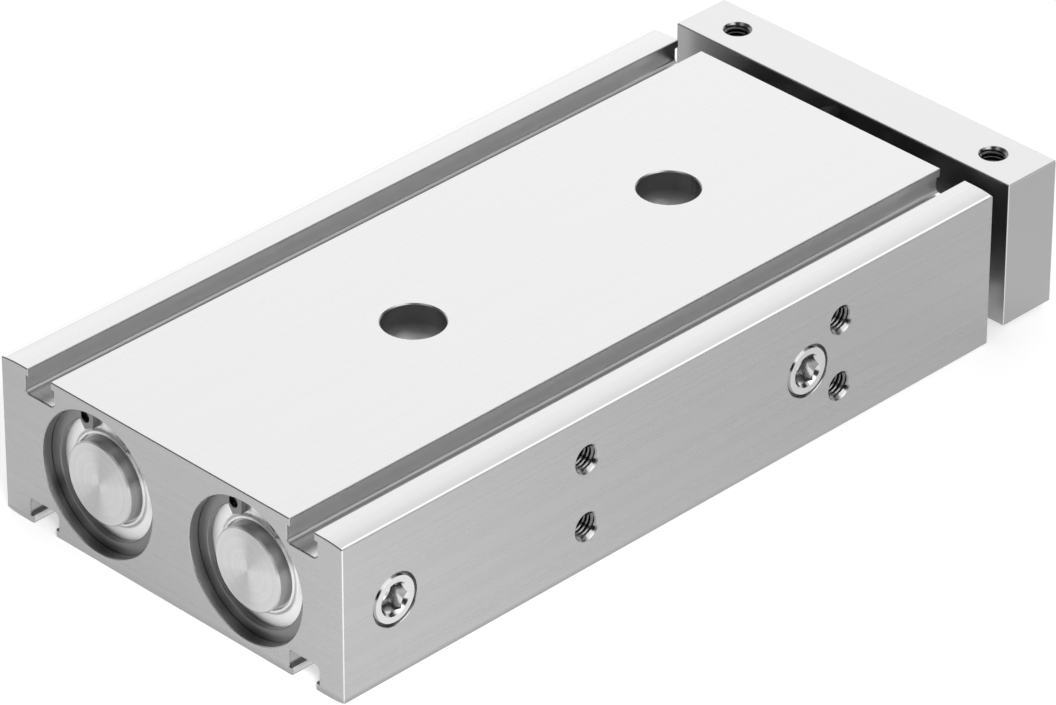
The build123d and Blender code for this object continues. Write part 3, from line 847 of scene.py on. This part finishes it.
def hole_places(mount):
    """Mouths of the holes of a line or rectangle of holes."""
    centre = Vector(mount["pos_m"])
    axis = Vector(mount["axis"])
    across = [Vector(unit) for unit in ((1, 0, 0), (0, 1, 0), (0, 0, 1)) if abs(axis.dot(unit)) < 0.5]
    places = [centre]
    for direction, key in zip(across, ("spacing_x_mm", "spacing_y_mm")):
        half = direction * mount["dims"].get(key, 0.0) * MM / 2
        if half.length:
            places = [place + shift for place in places for shift in (half, -half)]
    return places


def cut_thread(radius, core, pitch, countersink, depth, settings):
    """Mesh of one hole's thread, with its mouth at the origin and the hole along +Z.

    A profile of one turn is spun, cut at both ends, flared at the mouth, and closed by a wall behind it.
    """
    shape = bmesh.new()
    profile = ((0, core), (CREST, core), (CREST + FLANK, radius), (CREST + FLANK + ROOT, radius), (1, core))
    verts = [shape.verts.new((reach, 0, (way - 1) * pitch)) for way, reach in profile]
    edges = [shape.edges.new(pair) for pair in zip(verts, verts[1:])]
    bmesh.ops.subdivide_edges(shape, edges=edges, cuts=1)
    turns = math.ceil(depth / pitch) + 2
    bmesh.ops.spin(
        shape,
        geom=shape.verts[:] + shape.edges[:],
        cent=(0, 0, 0),
        axis=(0, 0, 1),
        dvec=(0, 0, pitch / settings.steps_per_turn),
        angle=2 * math.pi * turns,
        steps=settings.steps_per_turn * turns,
        use_merge=False,
    )
    weld = pitch * WELD
    bmesh.ops.remove_doubles(shape, verts=shape.verts, dist=weld)
    for level, way_out in ((countersink, -1), (depth, 1)):
        bmesh.ops.bisect_plane(
            shape,
            geom=shape.verts[:] + shape.edges[:] + shape.faces[:],
            dist=weld,
            plane_co=(0, 0, level),
            plane_no=(0, 0, way_out),
            clear_outer=True,
        )
    for vert in shape.verts:
        cone = radius + countersink - vert.co.z
        if vert.co.xy.length < cone:
            vert.co.xy *= cone / vert.co.xy.length
    outer = radius + settings.wall_overlap
    rims = [edge for edge in shape.edges if edge.is_boundary]
    made = bmesh.ops.extrude_edge_only(shape, edges=rims)["geom"]
    for vert in [item for item in made if isinstance(item, bmesh.types.BMVert)]:
        vert.co.xy *= outer / vert.co.xy.length
    open_edges = [edge for edge in shape.edges if edge.is_boundary]
    bmesh.ops.bridge_loops(shape, edges=open_edges)
    bmesh.ops.recalc_face_normals(shape, faces=shape.faces)
    mesh = bpy.data.meshes.new("one_thread")
    shape.to_mesh(mesh)
    shape.free()
    return mesh


def place_threads(name, mesh, mouths, outward, body, finish):
    """One piece with a copy of a thread's mesh in each hole."""
    turn = (-outward).to_track_quat("Z", "Y").to_matrix().to_4x4()
    joined = bmesh.new()
    for mouth in mouths:
        before = len(joined.verts)
        joined.from_mesh(mesh)
        joined.verts.ensure_lookup_table()
        bmesh.ops.transform(joined, matrix=Matrix.Translation(mouth) @ turn, verts=joined.verts[before:])
    result = bpy.data.meshes.new(name)
    joined.to_mesh(result)
    joined.free()
    result.polygons.foreach_set("use_smooth", [True] * len(result.polygons))
    result.set_sharp_from_angle(angle=SHARP)
    result.materials.append(bpy.data.materials[finish])
    piece = bpy.data.objects.new(name, result)
    bpy.context.scene.collection.objects.link(piece)
    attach(piece, body)
    return piece


class CYLINDER_OT_materials(bpy.types.Operator):
    """Makes the materials of the metal and rubber parts"""

    bl_idname = "cylinder.materials"
    bl_label = "Make Materials"

    def execute(self, context):
        make_brushed_lines()
        make_outer_edges()
        make_turned_rings()
        make_surface_life()
        make_materials(context.scene.cylinder_metals)
        return {"FINISHED"}


class CYLINDER_OT_body(bpy.types.Operator):
    """Finishes the brushed body extrusion"""

    bl_idname = "cylinder.body"
    bl_label = "Finish Body"

    def execute(self, context):
        dress("body_anodised")
        return {"FINISHED"}


class CYLINDER_OT_yoke(bpy.types.Operator):
    """Finishes the yoke plate and its screws"""

    bl_idname = "cylinder.yoke"
    bl_label = "Finish Yoke"

    def execute(self, context):
        dress("yoke_anodised")
        dress("screw_steel")
        return {"FINISHED"}


class CYLINDER_OT_bore_parts(bpy.types.Operator):
    """Finishes the turned caps, the pistons, the rods and the retaining rings"""

    bl_idname = "cylinder.bore_parts"
    bl_label = "Finish Bore Parts"

    def execute(self, context):
        for slot in ("cap_turned", "rod_chrome", "ring_steel", "bush_bronze", "magnet_ferrite"):
            dress(slot)
        return {"FINISHED"}


class CYLINDER_OT_soft_parts(bpy.types.Operator):
    """Finishes the seals, O-rings, wipers and bumpers"""

    bl_idname = "cylinder.soft_parts"
    bl_label = "Finish Soft Parts"

    def execute(self, context):
        dress("seal_rubber")
        dress("bumper_elastomer")
        return {"FINISHED"}


class CYLINDER_OT_plugs(bpy.types.Operator):
    """Finishes the port plugs"""

    bl_idname = "cylinder.plugs"
    bl_label = "Finish Port Plugs"

    def execute(self, context):
        dress("plug_metal")
        return {"FINISHED"}


class CYLINDER_OT_side_threads(bpy.types.Operator):
    """Cuts the M5 threads in both sides of the body"""

    bl_idname = "cylinder.side_threads"
    bl_label = "Cut Side Threads"

    def execute(self, context):
        sizes = context.scene.cylinder_threads
        for side in SIDES:
            mount = mounts["side_threads_" + side]
            radius = mount["dims"]["hole_r_mm"] * MM
            mesh = cut_thread(
                radius, sizes.fine_core, sizes.fine_pitch, sizes.countersink, sizes.side_depth, sizes
            )
            place_threads(
                "side_thread_turns_" + side, mesh, hole_places(mount), Vector(mount["axis"]),
                "cylinder", "body_threads",
            )
        return {"FINISHED"}


class CYLINDER_OT_port_threads(bpy.types.Operator):
    """Cuts the pipe threads in the open air ports"""

    bl_idname = "cylinder.port_threads"
    bl_label = "Cut Port Threads"

    def execute(self, context):
        sizes = context.scene.cylinder_threads
        ports = [mounts["air_port_rear"], mounts["air_port_front"]]
        axis = Vector(ports[0]["axis"])
        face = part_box("body")[1].y
        mouths = [Vector((port["pos_m"][0], face, port["pos_m"][2])) for port in ports]
        radius = ports[0]["dims"]["r_mm"] * MM
        mesh = cut_thread(
            radius, sizes.port_core, sizes.port_pitch, sizes.port_countersink, sizes.port_depth, sizes
        )
        place_threads("port_thread_turns", mesh, mouths, axis, "cylinder", "body_threads")
        return {"FINISHED"}


class CYLINDER_OT_yoke_threads(bpy.types.Operator):
    """Cuts the threads in the yoke's top, bottom and front"""

    bl_idname = "cylinder.yoke_threads"
    bl_label = "Cut Yoke Threads"

    def execute(self, context):
        sizes = context.scene.cylinder_threads
        fine = (sizes.fine_core, sizes.fine_pitch, sizes.yoke_countersink, sizes.side_depth)
        coarse = (sizes.coarse_core, sizes.coarse_pitch, sizes.yoke_countersink, sizes.front_depth)
        for face, cut in (("top", fine), ("bottom", fine), ("front", coarse)):
            mount = mounts["yoke_" + face + "_threads"]
            mesh = cut_thread(mount["dims"]["hole_r_mm"] * MM, *cut, sizes)
            place_threads(
                "yoke_thread_turns_" + face, mesh, hole_places(mount), Vector(mount["axis"]),
                "yoke", "yoke_threads",
            )
        return {"FINISHED"}


def make_floor(looks):
    """Studio floor, white to the eye, which lets the camera see the part from below."""
    tree, shader, place = new_material("studio_floor", metallic=0.0)
    shader.inputs["Base Color"].default_value = opaque(looks.floor_colour)
    shader.inputs["Roughness"].default_value = FLOOR_ROUGHNESS
    shader.inputs["Specular IOR Level"].default_value = 0.0
    clear = tree.nodes.new("ShaderNodeBsdfTransparent")
    rays = tree.nodes.new("ShaderNodeLightPath")
    seen = maths(tree, "ADD", rays.outputs["Is Camera Ray"], rays.outputs["Is Glossy Ray"])
    seen = maths(tree, "MAXIMUM", seen, rays.outputs["Is Transmission Ray"])
    shader.inputs["Emission Color"].default_value = WHITE
    glow = maths(tree, "MULTIPLY", seen, looks.floor_glow)
    wire(tree, glow, shader.inputs["Emission Strength"])
    from_contact = maths(tree, "LESS_THAN", rays.outputs["Ray Length"], CONTACT)
    back = tree.nodes.new("ShaderNodeNewGeometry").outputs["Backfacing"]
    unseen = maths(tree, "MAXIMUM", from_contact, back)
    mix = add(tree, "ShaderNodeMixShader", {0: unseen, 1: shader.outputs[0], 2: clear.outputs[0]})
    wire(tree, mix.outputs[0], tree.nodes["Material Output"].inputs["Surface"])
    shape = bmesh.new()
    bmesh.ops.create_circle(shape, cap_ends=True, radius=looks.floor_radius, segments=FLOOR_SIDES)
    bmesh.ops.translate(shape, verts=shape.verts, vec=(0, 0, -FLOOR_DROP))
    mesh = bpy.data.meshes.new("floor")
    shape.to_mesh(mesh)
    shape.free()
    mesh.materials.append(bpy.data.materials["studio_floor"])
    floor = bpy.data.objects.new("floor", mesh)
    bpy.context.scene.collection.objects.link(floor)


def make_fill(looks):
    """Softbox at the camera's side, which lights the floor in front of the near corner."""
    lamp = bpy.data.lights.new("fill_softbox", "AREA")
    lamp.energy = looks.fill_power
    lamp.size = looks.fill_size
    lamp.spread = looks.fill_spread
    softbox = bpy.data.objects.new("fill_softbox", lamp)
    softbox.location = looks.fill_place
    aim = Vector(looks.fill_place) - Vector(looks.fill_target)
    softbox.rotation_euler = aim.to_track_quat("Z", "Y").to_euler()
    softbox.visible_camera = False
    softbox.visible_glossy = False
    bpy.context.scene.collection.objects.link(softbox)


def lobe(tree, direction, centre, core, end, inner, outer):
    """Round patch of the surroundings: one value up to the core's angle, fading to another at the end's."""
    inputs = {0: direction, 1: centre}
    toward = add(tree, "ShaderNodeVectorMath", inputs, operation="DOT_PRODUCT").outputs["Value"]
    return between(tree, toward, math.cos(end), math.cos(core), outer, inner, smooth=True)


def make_surroundings(looks):
    """Studio around the part: pale at eye level, a broad window behind, softboxes, and dark flags."""
    world = bpy.data.worlds.new("studio")
    world.use_nodes = True
    tree = world.node_tree
    direction = tree.nodes.new("ShaderNodeTexCoord").outputs["Generated"]
    height = axis_parts(tree, direction)["Z"]
    level = between(tree, height, *SKY, looks.horizon, looks.zenith, smooth=True)
    flat = math.cos(looks.dip)
    behind = (flat * math.cos(looks.azimuth), flat * math.sin(looks.azimuth), math.sin(looks.dip))
    window = lobe(tree, direction, behind, looks.window_core, looks.window_spread, looks.window, 0.0)
    shade = 1.0
    for centre, core, end, share in FLAGS.values():
        flag = lobe(tree, direction, centre, math.radians(core), math.radians(end), 1.0 - share, 1.0)
        shade = maths(tree, "MULTIPLY", shade, flag)
    for centre, core, end, strength in SOFTBOXES.values():
        softbox = lobe(tree, direction, centre, math.radians(core), math.radians(end), strength, 0.0)
        window = maths(tree, "ADD", window, softbox)
    on_matt = tree.nodes.new("ShaderNodeLightPath").outputs["Is Diffuse Ray"]
    window = maths(tree, "MULTIPLY", window, between(tree, on_matt, 0.0, 1.0, 1.0, looks.window_on_floor))
    light = maths(tree, "ADD", maths(tree, "MULTIPLY", level, shade), window)
    background = tree.nodes["Background"]
    background.inputs["Color"].default_value = WHITE
    wire(tree, light, background.inputs["Strength"])
    bpy.context.scene.world = world


def make_camera(looks):
    """Camera at the photograph's place and viewing angle."""
    flat = math.cos(looks.dip)
    ahead = Vector((flat * math.cos(looks.azimuth), flat * math.sin(looks.azimuth), -math.sin(looks.dip)))
    level = ahead.cross((0, 0, 1)).normalized()
    upright = level.cross(ahead)
    right = math.cos(looks.roll) * level + math.sin(looks.roll) * upright
    up = math.cos(looks.roll) * upright - math.sin(looks.roll) * level
    lens = bpy.data.cameras.new("camera")
    lens.lens = looks.focal_length
    lens.clip_start, lens.clip_end = CLIP
    camera = bpy.data.objects.new("camera", lens)
    turned = Matrix((right, up, -ahead)).transposed().to_4x4()
    place = Vector(looks.target) - ahead * looks.distance + right * looks.pan[0] + up * looks.pan[1]
    camera.matrix_world = Matrix.Translation(place) @ turned
    bpy.context.scene.collection.objects.link(camera)
    bpy.context.scene.camera = camera


class CYLINDER_OT_stage(bpy.types.Operator):
    """Makes the floor, the lights and the camera"""

    bl_idname = "cylinder.stage"
    bl_label = "Set Stage"

    def execute(self, context):
        looks = context.scene.cylinder_stage
        context.scene.view_settings.view_transform = "Standard"
        make_floor(looks)
        make_surroundings(looks)
        make_fill(looks)
        make_camera(looks)
        return {"FINISHED"}


OPERATORS = (
    CYLINDER_OT_materials,
    CYLINDER_OT_body,
    CYLINDER_OT_yoke,
    CYLINDER_OT_bore_parts,
    CYLINDER_OT_soft_parts,
    CYLINDER_OT_plugs,
    CYLINDER_OT_side_threads,
    CYLINDER_OT_port_threads,
    CYLINDER_OT_yoke_threads,
    CYLINDER_OT_stage,
)
SETTINGS = {
    "cylinder_threads": ThreadSizes,
    "cylinder_metals": MetalLooks,
    "cylinder_stage": StageLooks,
}


class CYLINDER_PT_panel(bpy.types.Panel):
    """Lists the steps and their settings"""

    bl_idname = "CYLINDER_PT_panel"
    bl_label = "Double Piston Cylinder"
    bl_space_type = "VIEW_3D"
    bl_region_type = "UI"
    bl_category = "Cylinder"

    def draw(self, context):
        for operator in OPERATORS:
            self.layout.operator(operator.bl_idname)
        for name, group in SETTINGS.items():
            box = self.layout.box()
            for setting in group.__annotations__:
                box.prop(getattr(context.scene, name), setting)


def register():
    for group in SETTINGS.values():
        bpy.utils.register_class(group)
    for name, group in SETTINGS.items():
        setattr(bpy.types.Scene, name, PointerProperty(type=group))
    for operator in OPERATORS:
        bpy.utils.register_class(operator)
    bpy.utils.register_class(CYLINDER_PT_panel)


def unregister():
    bpy.utils.unregister_class(CYLINDER_PT_panel)
    for operator in reversed(OPERATORS):
        bpy.utils.unregister_class(operator)
    for name, group in SETTINGS.items():
        delattr(bpy.types.Scene, name)
        bpy.utils.unregister_class(group)


def main():
    register()
    for operator in OPERATORS:
        family, step = operator.bl_idname.split(".")
        getattr(getattr(bpy.ops, family), step)()


if __name__ == "__main__":
    main()
